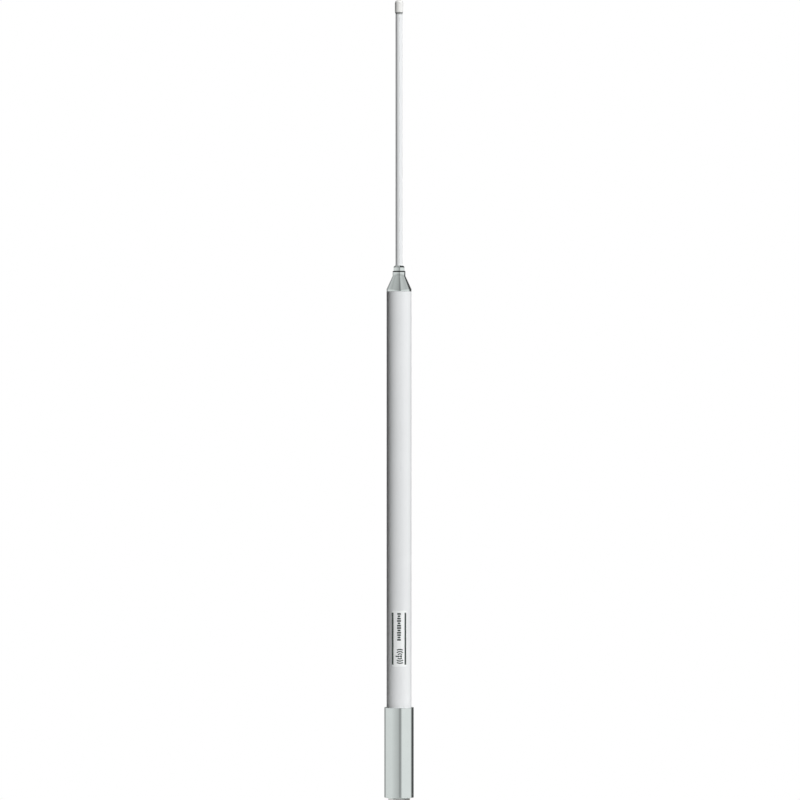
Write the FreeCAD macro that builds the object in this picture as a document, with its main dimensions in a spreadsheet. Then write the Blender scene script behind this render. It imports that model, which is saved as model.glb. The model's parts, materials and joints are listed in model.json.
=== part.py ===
import FreeCAD, Part

import os
import re

import Sketcher

# Omnidirectional antenna: a label-bearing glass-fibre radome in a metal mounting tube, with an
# N-type jack at its foot and a thin whip that screws into a ferrule at its top. Millimetres.
# The origin is the centre of the mounting tube's bottom face, +Z runs up the antenna's axis,
# and the label faces -Y.

SIZES = {
    # Mounting tube and radome
    "radome_od": 25.4,
    "radome_wall": 2.5,
    "radome_length": 492,
    "mount_bond": 0.1,
    "mount_wall": 2.2,
    "mount_length": 92,
    "spigot_gap": 0.1,
    # Base plug, its O-ring and its grub screws
    "plug_recess": 0.5,
    "plug_body": 23.5,
    "plug_spigot": 12,
    "plug_gap": 0.05,
    "plug_bore": 9,
    "ring_section": 1.76,
    "ring_groove": 1.8,
    "ring_groove_base": 17.5,
    "ring_groove_height": 2.4,
    "grub_diameter": 4,
    "grub_length": 5,
    "grub_sink": 0.3,
    "grub_key": 2,
    "grub_key_depth": 2.2,
    "grub_base": 6,
    "grub_pitch": 8,
    "grub_count": 2,
    # N-type jack
    "gasket_od": 18.4,
    "gasket_gap": 0.05,
    "gasket_thickness": 0.8,
    "hex_flats": 19,
    "hex_height": 5,
    "hex_round": 1.2,
    "jack_thread": 15.88,
    "jack_thread_length": 10.5,
    "relief_od": 14.2,
    "relief_length": 1.5,
    "rear_thread": 14,
    "rear_thread_length": 11.3,
    "rear_thread_gap": 0.05,
    "rear_thread_runout": 1,
    "socket_bore": 8.1,
    "socket_depth": 26.5,
    "insulator_gap": 0.05,
    "insulator_setback": 9,
    "insulator_length": 17.3,
    "contact_od": 3,
    "contact_setback": 4.8,
    "contact_length": 16.5,
    "contact_bore": 1.65,
    "contact_bore_depth": 6,
    "contact_slot": 0.35,
    "contact_slot_length": 4.5,
    "contact_pin": 2,
    "contact_pin_length": 8,
    "contact_gap": 0.02,
    "solder_cup_depth": 5,
    "crimp_spigot_wall": 0.4,
    "crimp_spigot_length": 8,
    # Feed cable
    "core_od": 0.9,
    "core_gap": 0.05,
    "core_end_gap": 0.2,
    "dielectric_od": 2.95,
    "layer_gap": 0.03,
    "braid_wall": 0.3,
    "braid_gap": 0.05,
    "braid_flare": 1,
    "jacket_od": 5,
    "jacket_start": 10,
    "jacket_stop": 8,
    "crimp_wall": 0.82,
    "crimp_overhang": 0.2,
    "cable_gap": 0.05,
    # Choke and spacers on the cable
    "choke_base": 60,
    "choke_od": 14,
    "choke_bore_gap": 0.15,
    "choke_bead_length": 12,
    "choke_bead_pitch": 12.75,
    "choke_bead_count": 5,
    "shrink_gap": 0.05,
    "shrink_wall": 0.45,
    "shrink_overhang": 2,
    "spacer_thickness": 6,
    "spacer_count": 2,
    "cable_spacer_base": 44,
    "cable_spacer_pitch": 101,
    # Dipole: skirt, feed gap and lower radiator
    "skirt_base": 170,
    "skirt_od": 15,
    "skirt_wall": 0.6,
    "skirt_length": 160,
    "skirt_disc": 2,
    "skirt_bush_inset": 2,
    "skirt_bush_length": 8,
    "skirt_spacer_inset": 20,
    "feed_gap": 4,
    "feed_socket": 8,
    "radiator_od": 6,
    "radiator_cup": 4.5,
    "radiator_cup_gap": 0.5,
    "radiator_head": 11.2,
    "radiator_head_height": 2,
    # Phasing coil
    "coil_length": 22,
    "coil_turns": 5,
    "coil_wire": 1.2,
    "former_od": 8,
    "former_pin": 3,
    "former_pin_length": 5,
    "former_pin_gap": 0.02,
    "former_pin_end_gap": 0.5,
    # Label
    "label_base": 134,
    "label_height": 57,
    "label_thickness": 0.15,
    "label_angle": 74,
    # Top ferrule and screw joint
    "ferrule_spigot": 20,
    "ferrule_rim": 2.5,
    "ferrule_cone": 13.5,
    "ferrule_neck": 4,
    "ferrule_floor": 3,
    "neck_wall": 1.45,
    "thread_gap": 0.05,
    "washer_thickness": 1,
    "washer_gap": 0.35,
    # Whip
    "whip_od": 7,
    "whip_wall": 1.2,
    "whip_length": 285,
    "whip_gap": 0.025,
    "whip_seat": 5,
    "stud_wall": 1.475,
    "stud_length": 16,
    "collar_height": 3.5,
    "collar_taper": 2,
    "collar_lip": 0.8,
    "wire_od": 2.5,
    "wire_gap": 0.02,
    "wire_inset": 1,
    "wire_stop": 16,
    "bead_gap": 0.05,
    "bead_length": 6,
    "bead_count": 4,
    "cap_wall": 0.675,
    "cap_height": 13.5,
    "cap_grip": 11,
    "cap_flat": 0.8,
}

# Radii that several pieces share
MOUNT_BORE = "(radome_od / 2 + mount_bond)"
MOUNT_RADIUS = f"({MOUNT_BORE} + mount_wall)"
RADOME_BORE = "(radome_od / 2 - radome_wall)"
SPIGOT_RADIUS = f"({RADOME_BORE} - spigot_gap)"
PLUG_RADIUS = f"({MOUNT_BORE} - plug_gap)"
HEX_RADIUS = "(hex_flats / sqrt(3))"
CRIMP_BORE = "(dielectric_od / 2 + 4 * layer_gap)"
CRIMP_SPIGOT = f"({CRIMP_BORE} + crimp_spigot_wall)"
CRIMP_SLEEVE = f"({CRIMP_SPIGOT} + braid_gap)"
BRAID_BORE = "(dielectric_od / 2 + layer_gap)"
BRAID_RADIUS = f"({BRAID_BORE} + braid_wall)"
CABLE_HOLE = "(jacket_od / 2 + cable_gap)"
SHRINK_BORE = "(choke_od / 2 + shrink_gap)"
SKIRT_BORE = "(skirt_od / 2 - skirt_wall)"
CUP_RADIUS = "(core_od / 2 + core_gap)"
FORMER_PIN_HOLE = "(former_pin / 2 + former_pin_gap)"
COIL_RADIUS = "((former_od + coil_wire) / 2 + layer_gap)"
WHIP_HOLE = "(whip_od / 2 + whip_gap)"
WHIP_BORE = "(whip_od / 2 - whip_wall)"
STUD_RADIUS = f"({WHIP_HOLE} + stud_wall)"
THREAD_BORE = f"({STUD_RADIUS} + thread_gap)"
NECK_RADIUS = f"({THREAD_BORE} + neck_wall)"
WIRE_HOLE = "(wire_od / 2 + wire_gap)"
CAP_RADIUS = f"({WHIP_HOLE} + cap_wall)"

# Heights on the antenna's axis
HEX_TOP = "(plug_recess - gasket_thickness)"
MOUTH = f"({HEX_TOP} - hex_height - relief_length - jack_thread_length)"
REAR_TOP = f"({HEX_TOP} + rear_thread_length)"
CONTACT_TOP = f"({MOUTH} + contact_setback + contact_length + contact_pin_length)"
CRIMP_BASE = f"({REAR_TOP} + crimp_overhang)"
BRAID_BASE = f"({CRIMP_BASE} + crimp_overhang)"
RADOME_BASE = "(plug_recess + plug_body)"
RADOME_TOP = f"({RADOME_BASE} + radome_length)"
SKIRT_TOP = "(skirt_base + skirt_length)"
FEED_BASE = f"({SKIRT_TOP} + skirt_disc)"
RADIATOR_BASE = f"({FEED_BASE} + feed_gap)"
FERRULE_BASE = f"({RADOME_TOP} - ferrule_spigot)"
COIL_BASE = f"({FERRULE_BASE} - coil_length)"
FERRULE_TOP = f"({RADOME_TOP} + ferrule_rim + ferrule_cone + ferrule_neck)"
STUD_BASE = f"({FERRULE_TOP} + washer_thickness - stud_length)"
WHIP_BASE = f"({STUD_BASE} + whip_seat)"
WHIP_TOP = f"({WHIP_BASE} + whip_length)"
WIRE_BASE = f"({STUD_BASE} + wire_inset)"
WIRE_LENGTH = f"({WHIP_TOP} - wire_stop - {WIRE_BASE})"

doc = FreeCAD.newDocument("OmniAntenna")
sheet = doc.addObject("Spreadsheet::Sheet", "Sizes")
for row, (alias, size) in enumerate(SIZES.items(), start=1):
    sheet.set(f"A{row}", alias)
    sheet.set(f"B{row}", str(size))
    sheet.setAlias(f"B{row}", alias)
doc.recompute()

pieces = []


def refer(text):
    """The expression with each size's name turned into a reference to its cell."""
    return re.sub(r"[a-z_]+", lambda word: f"Sizes.{word[0]}" if word[0] in SIZES else word[0], text)


def bind(thing, prop, text):
    thing.setExpression(prop, refer(text))


def piece(thing, label):
    """Record an object as one of the antenna's pieces, under the name that its file gets."""
    thing.Label = label
    pieces.append(thing)
    return thing


def new_body(label, base):
    body = doc.addObject("PartDesign::Body", label)
    body.AllowCompound = True
    bind(body, "Placement.Base.z", base)
    return body


def origin_feature(body, role):
    return next(feature for feature in body.Origin.OriginFeatures if feature.Role == role)


def new_sketch(body, role):
    sketch = body.newObject("Sketcher::SketchObject", "Sketch")
    sketch.AttachmentSupport = (origin_feature(body, role), [""])
    sketch.MapMode = "FlatFace"
    return sketch


def place_point(sketch, line, radius, height):
    """Tie the start of a line to its distance from the axis and its height."""
    if radius == "0":
        sketch.addConstraint(Sketcher.Constraint("PointOnObject", line, 1, -2))
    else:
        index = sketch.addConstraint(Sketcher.Constraint("DistanceX", -1, 1, line, 1, 1.0 + line))
        bind(sketch, f"Constraints[{index}]", radius)
    if height == "0":
        sketch.addConstraint(Sketcher.Constraint("PointOnObject", line, 1, -1))
    else:
        index = sketch.addConstraint(Sketcher.Constraint("DistanceY", -1, 1, line, 1, 1.0 + line))
        bind(sketch, f"Constraints[{index}]", height)


def outline(sketch, points):
    """A closed outline through (distance from the axis, height) points."""
    count = len(points)
    starts = [FreeCAD.Vector(1 + k, 1 + k * k, 0) for k in range(count)]
    for k in range(count):
        sketch.addGeometry(Part.LineSegment(starts[k], starts[(k + 1) % count]), False)
    for k in range(count):
        sketch.addConstraint(Sketcher.Constraint("Coincident", k, 2, (k + 1) % count, 1))
    for k, (radius, height) in enumerate(points):
        place_point(sketch, k, radius, height)


def turned(label, base, points, angle=None):
    """A body turned about the antenna's axis, from an outline measured up from its base."""
    body = new_body(label, base)
    sketch = new_sketch(body, "XZ_Plane")
    outline(sketch, points)
    doc.recompute()
    turning = body.newObject("PartDesign::Revolution", "Revolution")
    turning.Profile = (sketch, [""])
    turning.ReferenceAxis = (sketch, ["V_Axis"])
    turning.Angle = 360
    if angle:
        turning.Midplane = True
        bind(turning, "Angle", angle)
    doc.recompute()
    return body


def ring(label, base, inner, outer, height):
    """A plain tube, or a plain rod where the inner radius is 0."""
    return turned(label, base, [(inner, "0"), (outer, "0"), (outer, height), (inner, height)])


def repeat(body, count, step, role="Z_Axis", backwards=False):
    """Repeat a body's last feature in equal steps along one of its axes, as separate solids."""
    pattern = body.newObject("PartDesign::LinearPattern", "LinearPattern")
    pattern.Originals = [body.Tip]
    pattern.Direction = (origin_feature(body, role), [""])
    pattern.Reversed = backwards
    bind(pattern, "Occurrences", count)
    bind(pattern, "Length", f"({step}) * ({count} - 1)")
    body.Tip = pattern
    doc.recompute()
    return body


def pocket(body, sketch, depth, both_ways=False):
    """Cut a sketch into the body, and make sure that it took some metal away."""
    before = body.Shape.Volume
    doc.recompute()
    cut = body.newObject("PartDesign::Pocket", "Pocket")
    cut.Profile = (sketch, [""])
    cut.Midplane = both_ways
    bind(cut, "Length", depth)
    doc.recompute()
    if body.Shape.Volume >= before:
        raise RuntimeError(f"{body.Label}: the pocket cuts nothing")
    return cut


def circle(sketch, radius, height):
    """A circle on the sketch's vertical axis."""
    index = sketch.addGeometry(Part.Circle(FreeCAD.Vector(0, 5, 0), FreeCAD.Vector(0, 0, 1), 1), False)
    sketch.addConstraint(Sketcher.Constraint("PointOnObject", index, 3, -2))
    size = sketch.addConstraint(Sketcher.Constraint("Radius", index, 1.0))
    bind(sketch, f"Constraints[{size}]", radius)
    place = sketch.addConstraint(Sketcher.Constraint("DistanceY", -1, 1, index, 3, 5.0))
    bind(sketch, f"Constraints[{place}]", height)


def grub_holes(body, base, floor, reach):
    """The two grub screws' holes, drilled from the back towards the axis down to their floor."""
    sketch = new_sketch(body, "XZ_Plane")
    bind(sketch, "AttachmentOffset.Base.z", f"-({floor})")
    for place in ("grub_base", "grub_base + grub_pitch"):
        circle(sketch, "grub_diameter / 2", f"{place} - {base}")
    pocket(body, sketch, f"{reach} - ({floor})")


def hexagon_sketch(body, across_flats, height):
    """A regular hexagon round the body's axis, at the stated height."""
    sketch = new_sketch(body, "XY_Plane")
    bind(sketch, "AttachmentOffset.Base.z", height)
    turn = FreeCAD.Rotation(FreeCAD.Vector(0, 0, 1), 60)
    corners = [FreeCAD.Vector(1, 0, 0)]
    while len(corners) < 6:
        corners.append(turn.multVec(corners[-1]))
    for k in range(6):
        sketch.addGeometry(Part.LineSegment(corners[k], corners[(k + 1) % 6]), False)
    guide = sketch.addGeometry(Part.Circle(FreeCAD.Vector(), FreeCAD.Vector(0, 0, 1), 1), True)
    sketch.addConstraint(Sketcher.Constraint("Coincident", guide, 3, -1, 1))
    for k in range(6):
        sketch.addConstraint(Sketcher.Constraint("Coincident", k, 2, (k + 1) % 6, 1))
        sketch.addConstraint(Sketcher.Constraint("PointOnObject", k, 1, guide))
    for k in range(5):
        sketch.addConstraint(Sketcher.Constraint("Equal", k, k + 1))
    sketch.addConstraint(Sketcher.Constraint("PointOnObject", 0, 1, -1))
    size = sketch.addConstraint(Sketcher.Constraint("Radius", guide, 1.0))
    bind(sketch, f"Constraints[{size}]", f"{across_flats} / sqrt(3)")
    return sketch


# ---- Mounting tube, base plug and what holds them ----

mounting_tube = ring("mounting_tube", "0", MOUNT_BORE, MOUNT_RADIUS, "mount_length")
GRUB_FLOOR = f"({MOUNT_RADIUS} - grub_sink - grub_length)"
grub_holes(mounting_tube, "0", f"{MOUNT_BORE} - 2 * mount_bond", f"{MOUNT_RADIUS} + grub_sink")
piece(mounting_tube, "mounting_tube")

GROOVE_RADIUS = f"({PLUG_RADIUS} - ring_groove + plug_gap)"
PLUG_TOP = "plug_body + plug_spigot"
REAR_HOLE = f"{REAR_TOP} + rear_thread_runout - plug_recess"
REAR_BORE = "rear_thread / 2 + rear_thread_gap"
base_plug = turned("base_plug", "plug_recess", [
    (REAR_BORE, "0"),
    (PLUG_RADIUS, "0"),
    (PLUG_RADIUS, "ring_groove_base"),
    (GROOVE_RADIUS, "ring_groove_base"),
    (GROOVE_RADIUS, "ring_groove_base + ring_groove_height"),
    (PLUG_RADIUS, "ring_groove_base + ring_groove_height"),
    (PLUG_RADIUS, "plug_body"),
    (SPIGOT_RADIUS, "plug_body"),
    (SPIGOT_RADIUS, PLUG_TOP),
    ("plug_bore / 2", PLUG_TOP),
    ("plug_bore / 2", REAR_HOLE),
    (REAR_BORE, REAR_HOLE),
])
grub_holes(base_plug, "plug_recess", f"{GRUB_FLOOR} - grub_sink", f"{PLUG_RADIUS} + plug_gap")
piece(base_plug, "base_plug")

o_ring = doc.addObject("Part::Torus", "base_plug_o_ring")
bind(o_ring, "Radius1", f"{MOUNT_BORE} - ring_section / 2 - layer_gap / 2")
bind(o_ring, "Radius2", "ring_section / 2")
bind(o_ring, "Placement.Base.z", "plug_recess + ring_groove_base + ring_groove_height / 2")
piece(o_ring, "base_plug_o_ring")

grub_screws = ring("grub_screws", "grub_base", "0", "grub_diameter / 2", "grub_length")
grub_screws.Placement.Rotation = FreeCAD.Rotation(FreeCAD.Vector(1, 0, 0), -90)
bind(grub_screws, "Placement.Base.y", GRUB_FLOOR)
key_sketch = hexagon_sketch(grub_screws, "grub_key", "grub_length")
screw_shank = grub_screws.Tip
key_pocket = pocket(grub_screws, key_sketch, "grub_key_depth")
repeat(grub_screws, "grub_count", "grub_pitch", "Y_Axis", backwards=True)
grub_screws.Tip.Originals = [screw_shank, key_pocket]
piece(grub_screws, "grub_screws")

# ---- N-type jack ----

gasket = ring("connector_gasket", HEX_TOP, "rear_thread / 2 + gasket_gap", "gasket_od / 2",
              "gasket_thickness")
piece(gasket, "connector_gasket")

HEX_FOOT = "jack_thread_length + relief_length"
HEX_HEAD = f"{HEX_FOOT} + hex_height"
REAR_END = f"{HEX_HEAD} + rear_thread_length"
SPIGOT_END = f"{REAR_END} + crimp_spigot_length"
shell_core = turned("shell_core", MOUTH, [
    ("socket_bore / 2", "0"),
    ("jack_thread / 2", "0"),
    ("jack_thread / 2", "jack_thread_length"),
    ("relief_od / 2", "jack_thread_length"),
    ("relief_od / 2", HEX_FOOT),
    ("hex_flats / 2 - hex_round", HEX_FOOT),
    ("hex_flats / 2 - hex_round", HEX_HEAD),
    ("rear_thread / 2", HEX_HEAD),
    ("rear_thread / 2", REAR_END),
    (CRIMP_SPIGOT, REAR_END),
    (CRIMP_SPIGOT, SPIGOT_END),
    (CRIMP_BORE, SPIGOT_END),
    (CRIMP_BORE, "socket_depth"),
    ("socket_bore / 2", "socket_depth"),
])
hex_block = doc.addObject("Part::Prism", "hex_block")
hex_block.Polygon = 6
bind(hex_block, "Circumradius", HEX_RADIUS)
bind(hex_block, "Height", "hex_height")
bind(hex_block, "Placement.Base.z", f"{HEX_TOP} - hex_height")
# The hex's corners are turned off at both ends, as a bar's are.
corner_ring = turned("corner_ring", f"{HEX_TOP} - hex_height", [
    ("relief_od / 2", "0"),
    ("hex_flats / 2", "0"),
    (HEX_RADIUS, "hex_round / 2"),
    (HEX_RADIUS, "hex_height - hex_round / 2"),
    ("hex_flats / 2", "hex_height"),
    ("relief_od / 2", "hex_height"),
])
hex_ring = doc.addObject("Part::MultiCommon", "hex_ring")
hex_ring.Shapes = [hex_block, corner_ring]
connector_shell = doc.addObject("Part::MultiFuse", "connector_shell")
connector_shell.Shapes = [shell_core, hex_ring]
connector_shell.Refine = True
piece(connector_shell, "connector_shell")

CONTACT_HOLE = "contact_od / 2 + contact_gap"
PIN_HOLE = "contact_pin / 2 + contact_gap"
CONTACT_STEP = "contact_setback + contact_length - insulator_setback"
INSULATOR_RADIUS = "socket_bore / 2 - insulator_gap"
insulator = turned("connector_insulator", f"{MOUTH} + insulator_setback", [
    (CONTACT_HOLE, "0"),
    (INSULATOR_RADIUS, "0"),
    (INSULATOR_RADIUS, "insulator_length"),
    (PIN_HOLE, "insulator_length"),
    (PIN_HOLE, CONTACT_STEP),
    (CONTACT_HOLE, CONTACT_STEP),
])
piece(insulator, "connector_insulator")

PIN_END = "contact_length + contact_pin_length"
contact = turned("connector_contact", f"{MOUTH} + contact_setback", [
    ("contact_bore / 2", "0"),
    ("contact_od / 2", "0"),
    ("contact_od / 2", "contact_length"),
    ("contact_pin / 2", "contact_length"),
    ("contact_pin / 2", PIN_END),
    (CUP_RADIUS, PIN_END),
    (CUP_RADIUS, f"{PIN_END} - solder_cup_depth"),
    ("0", f"{PIN_END} - solder_cup_depth"),
    ("0", "contact_bore_depth"),
    ("contact_bore / 2", "contact_bore_depth"),
])
slot_sketch = new_sketch(contact, "XZ_Plane")
slot_corners = [(-1, 0), (1, 0), (1, 3), (-1, 3)]
for start, end in zip(slot_corners, slot_corners[1:] + slot_corners[:1]):
    slot_sketch.addGeometry(Part.LineSegment(FreeCAD.Vector(*start, 0), FreeCAD.Vector(*end, 0)), False)
for side in range(4):
    slot_sketch.addConstraint(Sketcher.Constraint("Coincident", side, 2, (side + 1) % 4, 1))
slot_sketch.addConstraint(Sketcher.Constraint("Vertical", 1))
slot_sketch.addConstraint(Sketcher.Constraint("Vertical", 3))
slot_sketch.addConstraint(Sketcher.Constraint("Horizontal", 2))
slot_sketch.addConstraint(Sketcher.Constraint("Symmetric", 0, 1, 0, 2, -1, 1))
slot_width = slot_sketch.addConstraint(Sketcher.Constraint("DistanceX", 0, 1, 0, 2, 2.0))
bind(slot_sketch, f"Constraints[{slot_width}]", "contact_slot")
slot_height = slot_sketch.addConstraint(Sketcher.Constraint("DistanceY", 1, 1, 1, 2, 3.0))
bind(slot_sketch, f"Constraints[{slot_height}]", "contact_slot_length")
slot = pocket(contact, slot_sketch, "2 * contact_od", both_ways=True)
cross = contact.newObject("PartDesign::PolarPattern", "PolarPattern")
cross.Originals = [slot]
cross.Axis = (origin_feature(contact, "Z_Axis"), [""])
cross.Angle = 90
cross.Occurrences = 2
contact.Tip = cross
piece(contact, "connector_contact")

# ---- Feed cable, from the jack to the dipole's feed gap ----

CRIMP_INNER = f"({CRIMP_SLEEVE} + braid_wall + layer_gap)"
crimp = ring("crimp_ferrule", CRIMP_BASE, CRIMP_INNER, f"{CRIMP_INNER} + crimp_wall", "crimp_spigot_length")
piece(crimp, "crimp_ferrule")

CORE_BASE = f"({CONTACT_TOP} - solder_cup_depth + core_end_gap)"
CORE_TOP = f"({RADIATOR_BASE} + radiator_cup - radiator_cup_gap)"
core = ring("cable_core", CORE_BASE, "0", "core_od / 2", f"{CORE_TOP} - {CORE_BASE}")
piece(core, "cable_core")

DIELECTRIC_BASE = f"({CONTACT_TOP} + core_end_gap)"
dielectric = ring("cable_dielectric", DIELECTRIC_BASE, "core_od / 2", "dielectric_od / 2",
                  f"{RADIATOR_BASE} - {DIELECTRIC_BASE}")
piece(dielectric, "cable_dielectric")

FLARE_END = "crimp_spigot_length + braid_flare"
BRAID_LENGTH = f"{FEED_BASE} - {BRAID_BASE}"
braid = turned("cable_braid", BRAID_BASE, [
    (CRIMP_SLEEVE, "0"),
    (f"{CRIMP_SLEEVE} + braid_wall", "0"),
    (f"{CRIMP_SLEEVE} + braid_wall", "crimp_spigot_length"),
    (BRAID_RADIUS, FLARE_END),
    (BRAID_RADIUS, BRAID_LENGTH),
    (BRAID_BORE, BRAID_LENGTH),
    (BRAID_BORE, FLARE_END),
    (CRIMP_SLEEVE, "crimp_spigot_length"),
])
piece(braid, "cable_braid")

JACKET_BASE = f"({REAR_TOP} + jacket_start)"
jacket = ring("cable_jacket", JACKET_BASE, f"{BRAID_RADIUS} + layer_gap", "jacket_od / 2",
              f"{SKIRT_TOP} - jacket_stop - {JACKET_BASE}")
piece(jacket, "cable_jacket")

# ---- Ferrite choke and cable spacers ----

choke = ring("choke_beads", "choke_base", "jacket_od / 2 + choke_bore_gap", "choke_od / 2",
             "choke_bead_length")
repeat(choke, "choke_bead_count", "choke_bead_pitch")
piece(choke, "choke_beads")

CHOKE_LENGTH = "choke_bead_pitch * (choke_bead_count - 1) + choke_bead_length"
shrink = ring("choke_heat_shrink", "choke_base - shrink_overhang", SHRINK_BORE,
              f"{SHRINK_BORE} + shrink_wall", f"{CHOKE_LENGTH} + 2 * shrink_overhang")
piece(shrink, "choke_heat_shrink")

cable_spacers = ring("cable_spacers", "cable_spacer_base", CABLE_HOLE, SPIGOT_RADIUS, "spacer_thickness")
repeat(cable_spacers, "spacer_count", "cable_spacer_pitch")
piece(cable_spacers, "cable_spacers")

# ---- Dipole ----

skirt = ring("dipole_skirt", "skirt_base", SKIRT_BORE, "skirt_od / 2", "skirt_length")
piece(skirt, "dipole_skirt")

skirt_bush = ring("skirt_bush", "skirt_base + skirt_bush_inset", CABLE_HOLE,
                  f"{SKIRT_BORE} - cable_gap", "skirt_bush_length")
piece(skirt_bush, "skirt_bush")

skirt_disc = ring("skirt_end_disc", SKIRT_TOP, f"{BRAID_RADIUS} + layer_gap", "skirt_od / 2",
                  "skirt_disc")
piece(skirt_disc, "skirt_end_disc")

skirt_spacers = ring("skirt_spacers", "skirt_base + skirt_spacer_inset", "skirt_od / 2 + cable_gap",
                     SPIGOT_RADIUS, "spacer_thickness")
repeat(skirt_spacers, "spacer_count", "skirt_length - 2 * skirt_spacer_inset - spacer_thickness")
piece(skirt_spacers, "skirt_spacers")

feed = turned("feed_insulator", FEED_BASE, [
    (BRAID_BORE, "0"),
    ("skirt_od / 2", "0"),
    ("skirt_od / 2", "feed_gap + feed_socket"),
    ("radiator_od / 2 + cable_gap", "feed_gap + feed_socket"),
    ("radiator_od / 2 + cable_gap", "feed_gap"),
    (BRAID_BORE, "feed_gap"),
])
piece(feed, "feed_insulator")

RADIATOR_LENGTH = f"({COIL_BASE} - {RADIATOR_BASE})"
HEAD_BASE = f"{RADIATOR_LENGTH} - radiator_head_height"
PIN_HOLE_DEPTH = "(former_pin_length + former_pin_end_gap)"
radiator = turned("lower_radiator", RADIATOR_BASE, [
    (CUP_RADIUS, "0"),
    ("radiator_od / 2", "0"),
    ("radiator_od / 2", HEAD_BASE),
    ("radiator_head / 2", HEAD_BASE),
    ("radiator_head / 2", RADIATOR_LENGTH),
    (FORMER_PIN_HOLE, RADIATOR_LENGTH),
    (FORMER_PIN_HOLE, f"{RADIATOR_LENGTH} - {PIN_HOLE_DEPTH}"),
    ("0", f"{RADIATOR_LENGTH} - {PIN_HOLE_DEPTH}"),
    ("0", "radiator_cup"),
    (CUP_RADIUS, "radiator_cup"),
])
piece(radiator, "lower_radiator")

# The spacers divide the free rod above the feed insulator's socket into three equal lengths.
FREE_ROD = f"({RADIATOR_LENGTH} - feed_socket - radiator_head_height)"
SPACER_STEP = f"({FREE_ROD} / 3)"
radiator_spacers = ring("radiator_spacers",
                        f"{RADIATOR_BASE} + feed_socket + {SPACER_STEP} - spacer_thickness / 2",
                        "radiator_od / 2 + cable_gap", SPIGOT_RADIUS, "spacer_thickness")
repeat(radiator_spacers, "spacer_count", SPACER_STEP)
piece(radiator_spacers, "radiator_spacers")

# ---- Phasing coil ----

FORMER_TOP = "former_pin_length + coil_length"
former = turned("coil_former", f"{COIL_BASE} - former_pin_length", [
    ("0", "0"),
    ("former_pin / 2", "0"),
    ("former_pin / 2", "former_pin_length"),
    ("former_od / 2", "former_pin_length"),
    ("former_od / 2", FORMER_TOP),
    ("former_pin / 2", FORMER_TOP),
    ("former_pin / 2", f"{FORMER_TOP} + former_pin_length"),
    ("0", f"{FORMER_TOP} + former_pin_length"),
])
piece(former, "coil_former")

COIL_RISE = "(coil_length - coil_wire)"
coil = new_body("phasing_coil", f"{COIL_BASE} + coil_wire / 2")
wire_sketch = new_sketch(coil, "XZ_Plane")
section = wire_sketch.addGeometry(Part.Circle(FreeCAD.Vector(5, 0, 0), FreeCAD.Vector(0, 0, 1), 1), False)
wire_sketch.addConstraint(Sketcher.Constraint("PointOnObject", section, 3, -1))
wire_radius = wire_sketch.addConstraint(Sketcher.Constraint("Radius", section, 1.0))
bind(wire_sketch, f"Constraints[{wire_radius}]", "coil_wire / 2")
wire_place = wire_sketch.addConstraint(Sketcher.Constraint("DistanceX", -1, 1, section, 3, 5.0))
bind(wire_sketch, f"Constraints[{wire_place}]", COIL_RADIUS)
doc.recompute()
winding = coil.newObject("PartDesign::AdditiveHelix", "AdditiveHelix")
winding.Profile = (wire_sketch, [""])
winding.ReferenceAxis = (wire_sketch, ["V_Axis"])
winding.Mode = 1
bind(winding, "Height", COIL_RISE)
bind(winding, "Turns", "coil_turns")
bind(winding, "Pitch", f"{COIL_RISE} / coil_turns")
doc.recompute()
piece(coil, "phasing_coil")

# ---- Radome, label and top ferrule ----

radome = ring("lower_radome", RADOME_BASE, RADOME_BORE, "radome_od / 2", "radome_length")
piece(radome, "lower_radome")

LABEL_RADIUS = "radome_od / 2 + label_thickness"
label = turned("radome_label", "label_base", [
    ("radome_od / 2", "0"),
    (LABEL_RADIUS, "0"),
    (LABEL_RADIUS, "label_height"),
    ("radome_od / 2", "label_height"),
], angle="label_angle")
label.Placement.Rotation = FreeCAD.Rotation(FreeCAD.Vector(0, 0, 1), -90)
piece(label, "radome_label")

RIM_TOP = "ferrule_spigot + ferrule_rim"
CONE_TOP = f"{RIM_TOP} + ferrule_cone"
NECK_TOP = f"{CONE_TOP} + ferrule_neck"
top_ferrule = turned("top_ferrule", FERRULE_BASE, [
    (FORMER_PIN_HOLE, "0"),
    (SPIGOT_RADIUS, "0"),
    (SPIGOT_RADIUS, "ferrule_spigot"),
    ("radome_od / 2", "ferrule_spigot"),
    ("radome_od / 2", RIM_TOP),
    (NECK_RADIUS, CONE_TOP),
    (NECK_RADIUS, NECK_TOP),
    (THREAD_BORE, NECK_TOP),
    (THREAD_BORE, "ferrule_spigot + ferrule_floor"),
    ("0", "ferrule_spigot + ferrule_floor"),
    ("0", PIN_HOLE_DEPTH),
    (FORMER_PIN_HOLE, PIN_HOLE_DEPTH),
])
piece(top_ferrule, "top_ferrule")

# ---- Whip section ----

washer = ring("joint_washer", FERRULE_TOP, f"{STUD_RADIUS} + washer_gap", NECK_RADIUS, "washer_thickness")
piece(washer, "joint_washer")

COLLAR_TOP = "stud_length + collar_height"
TAPER_TOP = f"{COLLAR_TOP} + collar_taper"
whip_ferrule = turned("whip_ferrule", STUD_BASE, [
    (WIRE_HOLE, "0"),
    (STUD_RADIUS, "0"),
    (STUD_RADIUS, "stud_length"),
    (NECK_RADIUS, "stud_length"),
    (NECK_RADIUS, COLLAR_TOP),
    (f"{WHIP_HOLE} + collar_lip", TAPER_TOP),
    (WHIP_HOLE, TAPER_TOP),
    (WHIP_HOLE, "whip_seat"),
    (WIRE_HOLE, "whip_seat"),
])
piece(whip_ferrule, "whip_ferrule")

whip = ring("whip_tube", WHIP_BASE, WHIP_BORE, "whip_od / 2", "whip_length")
piece(whip, "whip_tube")

wire = ring("upper_radiator", WIRE_BASE, "0", "wire_od / 2", WIRE_LENGTH)
piece(wire, "upper_radiator")

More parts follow.
